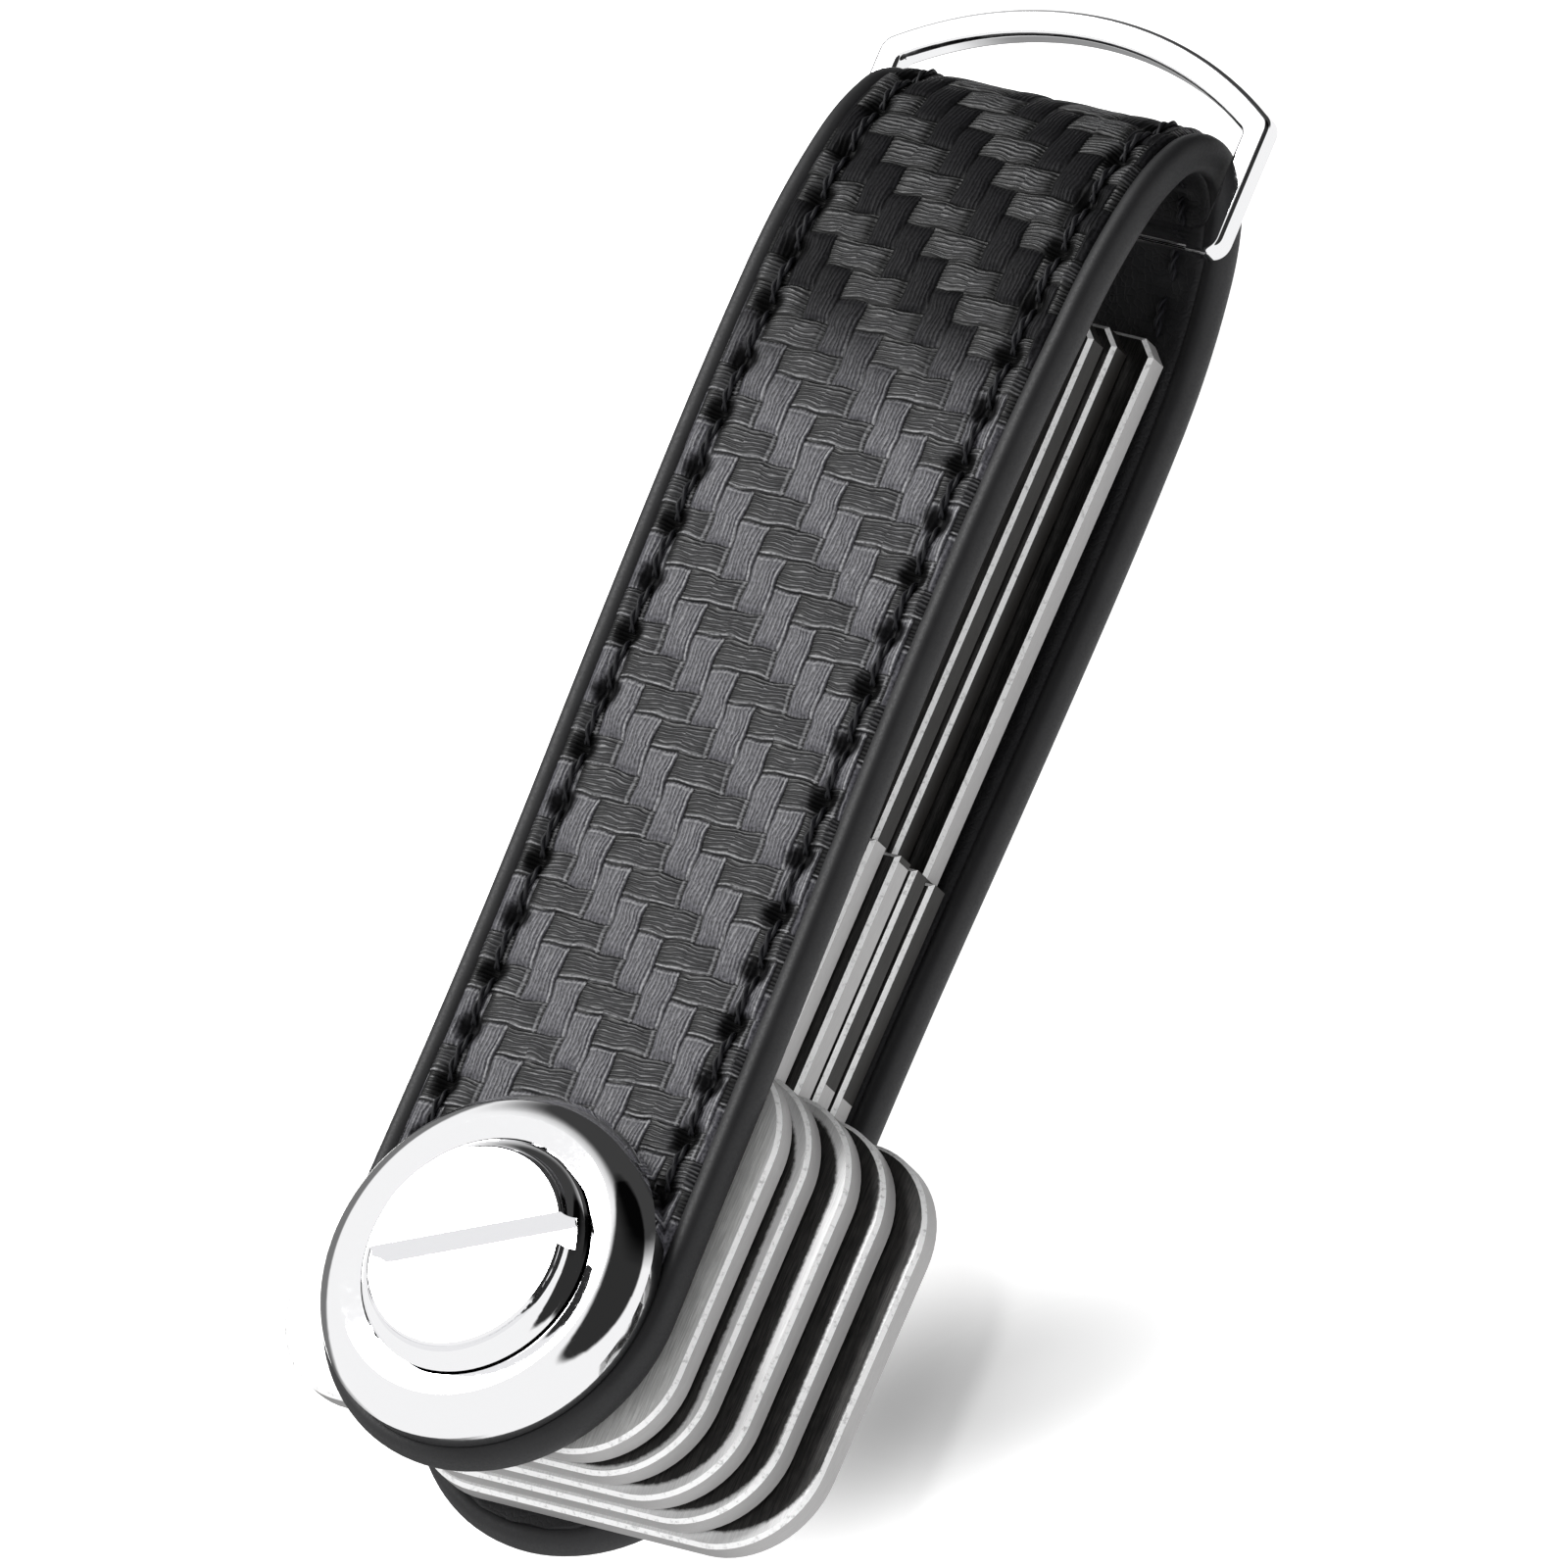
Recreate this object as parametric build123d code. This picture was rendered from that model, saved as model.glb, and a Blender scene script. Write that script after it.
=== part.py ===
"""Key organiser: a folded leather band that clamps five flat keys on one screw, with a D-ring in its fold.

Frame: the organiser lies on its rear cap. The origin is the centre of the cap's face, +Z runs up along
the clamp screw, +Y runs along the band towards the fold and the D-ring, and +X runs across the band.
All sizes are in millimetres.
"""
from build123d import *
from math import atan2, cos, degrees, radians, sin
import os

# Band
BAND_WIDTH = 24.2
WAIST_WIDTH = 23.5            # the edges are drawn in a little beside the keys
WAIST_Y = 33.0
FOLD_Y = 82.0                 # screw axis to the outside of the fold
SKIN = 0.7                    # embossed outer leather
CORE = 1.2                    # stiffening board between the two leathers
LINING = 0.6
CAP_PROUD = 1.3               # how far the rear cap stands out of the leather
BOW_RADIUS = 470.0            # each leg bows out gently past the keys
BOW_TURN = 2.5                # degrees, out and back in
CROWN_TURNS = [(200.0, 4.0), (40.0, 12.0), (14.0, 20.0)]   # radius and turn of each bend up to the fold
EYELET_RADIUS = 4.4

# Stitching
STITCH_INSET = 3.2            # row to the band's edge
STITCH_PITCH = 3.7
STITCH_LENGTH = 2.9
STITCH_WIDTH = 0.8
STITCH_HEIGHT = 0.4
STITCH_ROUNDING = 0.36
STITCH_LIFT = 0.004
STITCH_START_Y = 9.2          # the first stitch shows just outside the cap

# Key stack
KEY_COUNT = 5
KEY_THICKNESS = 1.75
SPACER = 0.2
SPACER_RADIUS = 5.2
POST_RADIUS = 2.95
KEY_CLEARANCE = 0.08
SPACER_CLEARANCE = 0.05

# Keys
BOW_BOTTOMS = [-9.0, -9.3, -9.6, -9.9, -10.2]      # lower end of each bow, from the screw axis
BOW_LENGTH = 27.0
BOW_CORNER = 6.3
BOW_WIDTHS = [28.8, 21.6, 24.8, 27.5, 29.6]
BOW_RIGHTS = [13.3, 14.5, 16.5, 18.1, 20.2]        # right-hand side of each bow, from the screw axis
BLADE_X = [-1.3, 3.2, 3.9, 4.2, 5.4]                # centre line of each blade
SHANK_WIDTH = 12.6
SHANK_RIGHTS = [5.0, 9.5, 10.2, 10.3, 10.4]         # right-hand side of each shank
SHANK_END = 33.5
BLADE_WIDTH = 8.5
BLADE_ENDS = [68.2, 68.6, 69.0, 69.5, 70.0]
FAN_ANGLES = [0.4, 0.5, 0.6, 0.7, 0.9]              # degrees each key leans to the right
TIP_CUT = 1.1                                       # bevel at the tip, and the longer one on the cut side
TIP_CUT_LONG = 3.2
KEY_EDGE = 0.25
GROOVE_WIDTH = 1.5
GROOVE_DEPTH = 0.45
GROOVE_START = 3.0                                  # from the end of the shank
GROOVE_OVERRUN = 1.0                                # past the tip
GROOVE_OFFSETS = [-1.6, 1.9]                        # front and rear groove, from the blade's centre line
BIT_PITCH = 4.6
BIT_START = 39.5
BIT_FLAT = 1.0                                      # bottom of each cut
BIT_STEP = 0.35                                     # depth of one step of the cuts
BIT_CODES = [(3, 2, 4, 2, 3), (2, 4, 3, 4, 2), (4, 2, 3, 2, 4), (2, 3, 2, 3, 4), (3, 2, 4, 3, 2)]

# Caps and clamp screw
CAP_RADIUS = 11.25
CAP_HEIGHT = 2.9
CAP_WALL = 1.2
CAP_SHOULDER = (10.55, 2.2)    # radius and height of the middle of the rounded shoulder
CAP_RIM_RADIUS = 9.1
CAP_RIM_FALL = 0.2             # the rim falls this far towards the head
CAP_FLOOR = 1.3
SEAT_RADIUS = 7.75
REAR_CAP_FLOOR = 0.5
REAR_CAP_WALL = 0.35
REAR_RIM_Z = 0.2               # the rear cap's rim, above the face of the post's head
REAR_SHOULDER = (10.45, 0.45)  # radius and Z of the middle of the rear cap's shoulder
HEAD_RADIUS = 7.6
HEAD_TOP_RADIUS = 6.4
HEAD_FLANGE_HEIGHT = 3.0
HEAD_FLANGE_EDGE = 0.15
HEAD_COVE = 0.45               # the cove's middle, out from the top's edge
HEAD_COVE_HEIGHT = 3.35
HEAD_HEIGHT = 4.4
HEAD_WASHER = 0.3
WASHER_RADIUS = 7.4
SLOT_WIDTH = 2.1
SLOT_DEPTH = 1.2
SLOT_ANGLE = 22.0
SHANK_RADIUS = 2.0
SHANK_POINT = 0.5
SHANK_LENGTH = 11.0
BORE_RADIUS = 2.05
POST_TOP = 1.0                # how far the post stands up into the front cap
BORE_BOTTOM_Z = 6.0
BORE_POINT = 1.0
POST_HEAD_EDGE = 0.4
POST_TOP_EDGE = 0.2

# D-ring
RING_HALF_WIDTH = 14.4
RING_WIRE = 1.75              # in the plane of the ring
RING_DEPTH = 1.5
RING_BAR_Y = 75.6
RING_DROP = 0.5               # the bar lies a little below the middle of the fold
RING_TOP = 12.55              # bar to the outside of the arc
RING_ARC_RADIUS = 26.0
RING_CORNER = 1.2
RING_INNER_CORNER = 0.5
RING_EDGE = 0.35
RING_BAR_RADIUS = 0.78        # the bar is turned round where the leather wraps it
RING_SHOULDER_GAP = 0.5       # the round bar starts this far inside the legs

# Sizes that follow
BAND_THICKNESS = SKIN + CORE + LINING
STACK = KEY_COUNT * KEY_THICKNESS + (KEY_COUNT + 1) * SPACER
HALF_HEIGHT = STACK / 2 + BAND_THICKNESS          # middle of the band to its outer face at the screw
REAR_FACE_Z = CAP_PROUD
MID_Z = REAR_FACE_Z + HALF_HEIGHT
FRONT_FACE_Z = MID_Z + HALF_HEIGHT
END_RADIUS = BAND_WIDTH / 2
RING_Z = MID_Z - RING_DROP


def band_bends():
    """Bends of the front leg at its outer face, from the screw to the fold: (radius, turn inward)."""
    crown = HALF_HEIGHT + 2 * BOW_RADIUS * (1 - cos(radians(BOW_TURN)))
    turned = 0.0
    for radius, turn in CROWN_TURNS:
        crown -= radius * (cos(radians(turned)) - cos(radians(turned + turn)))
        turned += turn
    fold_radius = crown / cos(radians(turned))
    return [(BOW_RADIUS, -BOW_TURN), (BOW_RADIUS, BOW_TURN), *CROWN_TURNS, (fold_radius, 90.0 - turned)]


def bend_run(bends):
    """Distance that the bends cover along Y."""
    run, heading = 0.0, 0.0
    for radius, turn in bends:
        run += radius * abs(sin(radians(heading + turn)) - sin(radians(heading)))
        heading += turn
    return run


FLAT_END_Y = FOLD_Y - bend_run(band_bends())      # each leg is straight from its end to here


def band_line(depth):
    """Edges of the band's side outline, depth inside its outer face, from the front end to the rear end."""
    bends = band_bends()
    bends = bends + bends[::-1]
    edges = [Line((-END_RADIUS, FRONT_FACE_Z - depth), (FLAT_END_Y, FRONT_FACE_Z - depth))]
    for radius, turn in bends:
        offset_radius = radius - depth if turn > 0 else radius + depth
        edges.append(JernArc(edges[-1] @ 1, edges[-1] % 1, offset_radius, -turn))
    edges.append(Line(edges[-1] @ 1, (-END_RADIUS, REAR_FACE_Z + depth)))
    return edges


def band_plan():
    """The band seen from the front, with its round end at the screw and its waist past the keys' bows."""
    waist, straight_y, top = WAIST_WIDTH / 2, 2 * WAIST_Y, FOLD_Y + 1
    right = ThreePointArc((END_RADIUS, 0), (waist, WAIST_Y), (END_RADIUS, straight_y))
    right_top = Line((END_RADIUS, straight_y), (END_RADIUS, top))
    cross = Line((END_RADIUS, top), (-END_RADIUS, top))
    left_top = Line((-END_RADIUS, top), (-END_RADIUS, straight_y))
    left = ThreePointArc((-END_RADIUS, straight_y), (-waist, WAIST_Y), (-END_RADIUS, 0))
    end = ThreePointArc((-END_RADIUS, 0), (0, -END_RADIUS), (END_RADIUS, 0))
    return make_face(Wire([right, right_top, cross, left_top, left, end]))


def band_layer(near, far):
    """One layer of the band between two depths, with the eyelet holes through both legs."""
    outer, inner = band_line(near), band_line(far)
    ends = [Line(outer[0] @ 0, inner[0] @ 0), Line(outer[-1] @ 1, inner[-1] @ 1)]
    side = Plane.YZ * make_face(Wire(outer + inner + ends))
    layer = extrude(side, BAND_WIDTH / 2, both=True)
    layer &= extrude(band_plan(), FRONT_FACE_Z + CAP_HEIGHT)
    return layer - Pos(0, 0, MID_Z) * Cylinder(EYELET_RADIUS, 3 * HALF_HEIGHT)


def stitch_row(x):
    """Stitches standing on the outer face of both legs along one edge."""
    path = Wire(band_line(0.0))
    start = (END_RADIUS + STITCH_START_Y) / path.length
    count = round((1 - 2 * start) * path.length / STITCH_PITCH)
    stitch = Box(STITCH_WIDTH, STITCH_LENGTH, STITCH_HEIGHT, align=(Align.CENTER, Align.CENTER, Align.MIN))
    stitch = fillet(stitch.faces().sort_by(Axis.Z)[-1].edges(), STITCH_ROUNDING)
    row = []
    for number in range(count + 1):
        at = start + (1 - 2 * start) * number / count
        point, along = path @ at, path % at
        lift = Vector(-along.Y, along.X) * STITCH_LIFT
        angle = degrees(atan2(along.Y, along.X))
        row.append(Pos(x, point.X + lift.X, point.Y + lift.Y) * Rot(angle, 0, 0) * stitch)
    return Compound(row)


def turned_part(points, arcs=()):
    """Solid of revolution about Z from (radius, z) points. arcs holds the middles of its round sides."""
    middles = dict(arcs)
    sides = []
    for index, point in enumerate(points):
        following = points[(index + 1) % len(points)]
        if index in middles:
            sides.append(ThreePointArc(point, middles[index], following))
        else:
            sides.append(Line(point, following))
    return revolve(Plane.XZ * make_face(Wire(sides)), Axis.Z)


def front_cap():
    base = FRONT_FACE_Z
    return turned_part(
        [(POST_RADIUS + SPACER_CLEARANCE, base), (CAP_RADIUS, base), (CAP_RADIUS, base + CAP_WALL),
         (CAP_RIM_RADIUS, base + CAP_HEIGHT), (SEAT_RADIUS, base + CAP_HEIGHT - CAP_RIM_FALL),
         (SEAT_RADIUS, base + CAP_FLOOR), (POST_RADIUS + SPACER_CLEARANCE, base + CAP_FLOOR)],
        {2: (CAP_SHOULDER[0], base + CAP_SHOULDER[1])})


def rear_cap():
    base = REAR_FACE_Z
    return turned_part(
        [(POST_RADIUS + SPACER_CLEARANCE, base), (CAP_RADIUS, base), (CAP_RADIUS, base - REAR_CAP_WALL),
         (CAP_RIM_RADIUS, REAR_RIM_Z), (SEAT_RADIUS, REAR_RIM_Z + CAP_RIM_FALL),
         (SEAT_RADIUS, base - REAR_CAP_FLOOR), (POST_RADIUS + SPACER_CLEARANCE, base - REAR_CAP_FLOOR)],
        {2: REAR_SHOULDER})


def post():
    """Rear head and threaded barrel that the keys turn on."""
    seat = REAR_FACE_Z - REAR_CAP_FLOOR
    top = FRONT_FACE_Z + POST_TOP
    return turned_part(
        [(0, 0), (HEAD_RADIUS - POST_HEAD_EDGE, 0), (HEAD_RADIUS, POST_HEAD_EDGE), (HEAD_RADIUS, seat),
         (POST_RADIUS, seat), (POST_RADIUS, top - POST_TOP_EDGE), (POST_RADIUS - POST_TOP_EDGE, top),
         (BORE_RADIUS, top), (BORE_RADIUS, BORE_BOTTOM_Z), (0, BORE_BOTTOM_Z - BORE_POINT)])


def clamp_screw():
    """Coin-slot screw: a round head with a cove up to its flat top, and a shank in the post's bore."""
    base = FRONT_FACE_Z
    under = base + CAP_FLOOR + HEAD_WASHER
    tip = under - SHANK_LENGTH
    screw = turned_part(
        [(0, tip), (SHANK_RADIUS - SHANK_POINT, tip), (SHANK_RADIUS, tip + SHANK_POINT),
         (SHANK_RADIUS, under), (HEAD_RADIUS, under),
         (HEAD_RADIUS, base + HEAD_FLANGE_HEIGHT - HEAD_FLANGE_EDGE),
         (HEAD_RADIUS - HEAD_FLANGE_EDGE, base + HEAD_FLANGE_HEIGHT),
         (HEAD_TOP_RADIUS + HEAD_FLANGE_EDGE, base + HEAD_HEIGHT - HEAD_FLANGE_EDGE),
         (HEAD_TOP_RADIUS, base + HEAD_HEIGHT), (0, base + HEAD_HEIGHT)],
        {6: (HEAD_TOP_RADIUS + HEAD_COVE, base + HEAD_COVE_HEIGHT)})
    slot = Box(3 * HEAD_RADIUS, SLOT_WIDTH, 2 * SLOT_DEPTH)
    return screw - Pos(0, 0, base + HEAD_HEIGHT) * Rot(0, 0, SLOT_ANGLE) * slot


def ring_washer(inner, outer, bottom, thickness):
    return Pos(0, 0, bottom) * extrude(Circle(outer) - Circle(inner), thickness)


def key_outline(index):
    """Bow, shank and blade of one key, before its hole."""
    middle, end, bow_width = BLADE_X[index], BLADE_ENDS[index], BOW_WIDTHS[index]
    bow_middle = (BOW_RIGHTS[index] - bow_width / 2, BOW_BOTTOMS[index] + BOW_LENGTH / 2)
    bow = Pos(*bow_middle) * RectangleRounded(bow_width, BOW_LENGTH, BOW_CORNER)
    shank = Pos(SHANK_RIGHTS[index] - SHANK_WIDTH / 2, SHANK_END / 2) * Rectangle(SHANK_WIDTH, SHANK_END)
    half = BLADE_WIDTH / 2
    cuts = []
    for number, code in enumerate(BIT_CODES[index]):
        y = BIT_START + number * BIT_PITCH
        depth = code * BIT_STEP
        cuts += [(middle - half, y - depth), (middle - half + depth, y),
                 (middle - half + depth, y + BIT_FLAT), (middle - half, y + BIT_FLAT + depth)]
    blade = Polygon((middle - half, 0), (middle + half, 0), (middle + half, end - TIP_CUT),
                    (middle + half - TIP_CUT, end), (middle - half + TIP_CUT_LONG, end),
                    (middle - half, end - TIP_CUT_LONG), *reversed(cuts), align=None)
    return bow + shank + blade


def key(index):
    """One flat steel key on the post, with a milled groove in each face of its blade."""
    top = FRONT_FACE_Z - BAND_THICKNESS - SPACER - index * (KEY_THICKNESS + SPACER)
    bottom = top - KEY_THICKNESS
    body = Pos(0, 0, bottom) * extrude(key_outline(index), KEY_THICKNESS)
    faces = body.faces().sort_by(Axis.Z)
    body = chamfer(faces[0].edges() + faces[-1].edges(), KEY_EDGE)
    start = SHANK_END + GROOVE_START
    length = BLADE_ENDS[index] + GROOVE_OVERRUN - start
    for offset, face_z in zip(GROOVE_OFFSETS, (top, bottom)):
        groove = Box(GROOVE_WIDTH, length, 2 * GROOVE_DEPTH)
        body -= Pos(BLADE_X[index] + offset, start + length / 2, face_z) * groove
    body = Rot(0, 0, -FAN_ANGLES[index]) * body
    return body - Pos(0, 0, MID_Z) * Cylinder(POST_RADIUS + KEY_CLEARANCE, 3 * HALF_HEIGHT)


def d_ring():
    """D-ring of flat wire: a round bar inside the fold, two short legs outside the band and an arc."""
    half = RING_HALF_WIDTH - RING_WIRE / 2
    arc_radius = RING_ARC_RADIUS - RING_WIRE / 2
    arc_centre = RING_TOP - RING_WIRE / 2 - arc_radius
    shoulder = arc_centre + (arc_radius ** 2 - half ** 2) ** 0.5
    bar = Line((-half, 0), (half, 0))
    right = Line((half, 0), (half, shoulder))
    arc = ThreePointArc((half, shoulder), (0, arc_centre + arc_radius), (-half, shoulder))
    left = Line((-half, shoulder), (-half, 0))
    middle = make_face(Wire([bar, right, arc, left]))
    outside = fillet(offset(middle, RING_WIRE / 2, kind=Kind.INTERSECTION).vertices(), RING_CORNER)
    inside = fillet(offset(middle, -RING_WIRE / 2, kind=Kind.INTERSECTION).vertices(), RING_INNER_CORNER)
    ring = extrude(outside - inside, RING_DEPTH / 2, both=True)
    faces = ring.faces().sort_by(Axis.Z)
    ring = fillet(faces[0].edges() + faces[-1].edges(), RING_EDGE)
    ring -= Box(2 * half - RING_WIRE - 2 * RING_SHOULDER_GAP, 2 * RING_WIRE, 2 * RING_DEPTH)
    ring += Rot(0, 90, 0) * Cylinder(RING_BAR_RADIUS, 2 * half - RING_WIRE / 2)
    return Pos(0, RING_BAR_Y, RING_Z) * ring


def write(name, shape):
    shape.label = name
    export_step(shape, f"parts/{name}.step")


def main():
    os.makedirs("parts", exist_ok=True)
    write("band_outer_skin", band_layer(0, SKIN))
    write("band_core", band_layer(SKIN, SKIN + CORE))
    write("band_lining", band_layer(SKIN + CORE, BAND_THICKNESS))
    stitch_x = BAND_WIDTH / 2 - STITCH_INSET
    write("stitching_left", stitch_row(-stitch_x))
    write("stitching_right", stitch_row(stitch_x))

    eyelet_bore = POST_RADIUS + SPACER_CLEARANCE
    front_leg_inside = FRONT_FACE_Z - BAND_THICKNESS
    write("front_eyelet", ring_washer(eyelet_bore, EYELET_RADIUS, front_leg_inside, BAND_THICKNESS))
    write("rear_eyelet", ring_washer(eyelet_bore, EYELET_RADIUS, REAR_FACE_Z, BAND_THICKNESS))
    write("front_cap", front_cap())
    write("rear_cap", rear_cap())
    write("threaded_post", post())
    write("screw_washer", ring_washer(eyelet_bore, WASHER_RADIUS, FRONT_FACE_Z + CAP_FLOOR, HEAD_WASHER))
    write("clamp_screw", clamp_screw())

    for index in range(KEY_COUNT + 1):
        bottom = front_leg_inside - SPACER - index * (KEY_THICKNESS + SPACER)
        write(f"spacer_{index + 1}", ring_washer(eyelet_bore, SPACER_RADIUS, bottom, SPACER))
    for index in range(KEY_COUNT):
        write(f"key_{index + 1}", key(index))
    write("d_ring", d_ring())


main()
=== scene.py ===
"""Looks of the key organiser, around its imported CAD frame. Sizes are in millimetres unless a name says metres."""
from math import cos, pi, radians, sin

import bpy
import numpy as np
from mathutils import Matrix, Vector


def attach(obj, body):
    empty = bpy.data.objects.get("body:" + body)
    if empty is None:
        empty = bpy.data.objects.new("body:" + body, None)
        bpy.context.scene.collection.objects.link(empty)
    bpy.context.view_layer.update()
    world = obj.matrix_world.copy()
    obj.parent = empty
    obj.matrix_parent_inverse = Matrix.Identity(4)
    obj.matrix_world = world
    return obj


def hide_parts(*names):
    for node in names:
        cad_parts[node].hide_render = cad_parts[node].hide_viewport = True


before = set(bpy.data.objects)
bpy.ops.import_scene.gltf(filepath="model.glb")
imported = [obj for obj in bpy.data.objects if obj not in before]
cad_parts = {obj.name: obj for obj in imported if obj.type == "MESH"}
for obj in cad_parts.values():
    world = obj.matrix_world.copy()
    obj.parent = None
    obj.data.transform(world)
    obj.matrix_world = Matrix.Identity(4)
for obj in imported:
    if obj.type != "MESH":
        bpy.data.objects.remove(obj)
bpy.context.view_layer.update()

MM = 0.001

# Band outline, as in the CAD: each leg bows out gently, then turns into the fold
END_RADIUS = 12.1
WAIST = 11.75                 # half the band's width beside the keys, where its edges are drawn in
WAIST_Y = 33.0
BAND_THICKNESS = 2.5
FOLD_Y = 82.0
FRONT_FACE_Z = 16.25
REAR_FACE_Z = 1.3
HALF_HEIGHT = (FRONT_FACE_Z - REAR_FACE_Z) / 2
BOW_RADIUS = 470.0
BOW_TURN = 2.5
CROWN_TURNS = [(200.0, 4.0), (40.0, 12.0), (14.0, 20.0)]

# Weave
TOW_ACROSS = 2.05             # pitch of the tows that run along the band
TOW_ALONG = 1.893             # pitch of the tows that run across it
TOW_PHASE = (0.090, 1.894)    # where the pattern starts across and along, in tows
WEAVE_RELIEF = 0.24
WANDER = 0.05                 # how far the tows stray from straight lines
THREADS_IN_TOW = 7.0
THREAD_RELIEF = 0.05
FOLD_SHADE = (31.0, 20.0)     # lengthwise tows painted darker, as shade, between these distances from the band's middle
# Mesh lines within one tow, as parts of its pitch
TOW_STEPS = [0.03, 0.10, 0.25, 0.42, 0.58, 0.75, 0.90, 0.97]

# Layers and edge
KEPT_LATTICE = 9.4            # the mesh follows the weave this far out, and the band's edge past it
EDGE_MARGIN = 0.35
SKIN_INSET = 1.25             # the embossed leather stops short of the painted edge
SKIN_DEPTH = 0.75
LINING_INSET = 1.0
LINING_NEAR = 1.9             # depth of the lining's hidden side
# The painted edge's rounding from the outer face to the middle of its side: (inset, depth)
EDGE_ROUNDING = [(1.9, 0.73), (1.35, 0.25), (1.0, 0.1), (0.7, 0.06),
                 (0.42, 0.14), (0.2, 0.34), (0.05, 0.66), (-0.02, 1.0)]

# Stitching
STITCH_X = 8.9
STITCH_PITCH = 3.7
STITCH_START_Y = 9.2
STITCH_LENGTH = 3.2
PLY_RADIUS = 0.14
PLY_ASIDE = 0.14              # the plies turn about each other this far out
PLY_UP = 0.12
PLY_TURNS = 1.4
STITCH_SLANT = 0.13
STITCH_ARCH = 0.06            # height of a stitch's middle over the leather
STITCH_DIVE = 0.6             # how far its ends go down from there
STITCH_RINGS, STITCH_SIDES = 22, 8
BOWS_END = 20.0               # the lining's stitches start beyond the keys' bows
GROOVE_WIDTH, GROOVE_DEPTH = 0.55, 0.14
HOLE_WIDTH, HOLE_DEPTH = 0.75, 0.45

# Keys
SIDE_METAL = 0.25             # how metallic their cut sides are
BOW_CORNER = 6.3
BOW_LENGTH = 27.0
BOW_BOTTOM = -9.6
BEYOND = 99.0                 # past every blade's tip
# For each key: where its sides are painted dark as painted shade, the right and left sides of its bow,
# and the width of the painted highlight on its bow's rim
KEYS = {"key_1": ((BEYOND, BEYOND), (13.3, -15.5), 0.3), "key_2": ((BEYOND, BEYOND), (14.5, -7.1), 0.7),
        "key_3": ((33.0, BEYOND), (16.5, -8.3), 0.75), "key_4": ((19.0, BEYOND), (18.1, -9.4), 0.3),
        "key_5": ((19.0, 33.6), (20.2, -9.4), 0.2)}

# Colours
# The black of the leather's painted shade: in its creases, over the fold and at one end of the crosswise tows
PAINTED_SHADE_BLACK = (0.003, 0.003, 0.003)
# The pale steel of the keys' painted highlights, on their chamfered corners and on their bows' rims
STEEL_HIGHLIGHT = (0.95, 0.95, 0.95)
FRONT_KEY_PALE, FRONT_KEY_DARK, FRONT_KEY_METAL = (0.95, 0.95, 0.94), (0.6, 0.6, 0.59), 0.25
# Keys 2 to 5 have their faces painted near black, as painted shade between the stacked keys; key_1's face keeps a
# pale steel colour
SHADED_KEY_PALE, SHADED_KEY_DARK, SHADED_KEY_METAL = (0.05, 0.047, 0.045), (0.006, 0.006, 0.006), 0.6
NICKEL_PALE, NICKEL_DARK = (0.62, 0.61, 0.57), (0.42, 0.41, 0.38)

# Camera
VIEW_BACK = Vector((0.559, -0.255, 0.789)).normalized()    # from the object towards the camera
VIEW_UP = Vector((-0.181, 0.891, 0.416))
FRAME_WIDTH = 93.6            # how much of the object's plane the frame spans
TARGET_RIGHT = 17.15          # the frame's centre from the screw axis, to the right and up in the view
TARGET_UP = 29.3
LENS = 1500.0
SENSOR = 36.0
CLIP_START = 0.01             # metres

# The floor, and the fixed patch of shadow painted on it
FLOOR_REACH = 3.0             # metres, each way from the origin
SHADE_PLACE = (27.0, 6.0)
SHADE_SIZE = (32.0, 13.0)
SHADE_TURN = 30.0
SHADE_DEPTH = 0.1

# The studio is white apart from these dark sides, which only reflections and shading show:
# (towards, cosine where it starts to darken, where it ends, what's left)
DARK_SIDES = [((0.5, 0.35, 0.75), 0.74, 0.8, 0.03),
              ((0.1, 1.0, 0.15), 0.55, 0.8, 0.05),
              ((-0.9, 0.3, -0.35), 0.86, 0.92, 0.2),
              ((-0.559, -0.255, -0.789), 0.86, 0.96, 0.3)]

# The lamps: name, place, aim and size in metres, power in watts, and does gloss show it
LAMPS = [("key_light", (-0.42, 0.22, 0.5), (0.0, 0.03, 0.0), 0.35, 3.5, True),
         ("side_fill", (0.5, -0.12, 0.12), (0.01, 0.03, 0.01), 0.3, 1.3, False)]


# ---------------------------------------------------------------- band outline

def outline_segments():
    """Runs of the outer outline from the front end to the rear end: (length, turn inward in radians)."""
    crown = HALF_HEIGHT + 2 * BOW_RADIUS * (1 - cos(radians(BOW_TURN)))
    run = 2 * BOW_RADIUS * sin(radians(BOW_TURN))
    turned = 0.0
    for radius, turn in CROWN_TURNS:
        crown -= radius * (cos(radians(turned)) - cos(radians(turned + turn)))
        run += radius * (sin(radians(turned + turn)) - sin(radians(turned)))
        turned += turn
    fold_radius = crown / cos(radians(turned))
    run += fold_radius * (1 - sin(radians(turned)))
    straight = (END_RADIUS + FOLD_Y - run, 0.0)
    bow = BOW_RADIUS * radians(BOW_TURN)
    bends = [(bow, -radians(BOW_TURN)), (bow, radians(BOW_TURN))]
    bends += [(radius * radians(turn), radians(turn)) for radius, turn in CROWN_TURNS]
    bends.append((fold_radius * radians(90 - turned), radians(90 - turned)))
    return [straight, *bends, *bends[::-1], straight]


SEGMENTS = outline_segments()
BAND_LENGTH = sum(length for length, turn in SEGMENTS)


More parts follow.
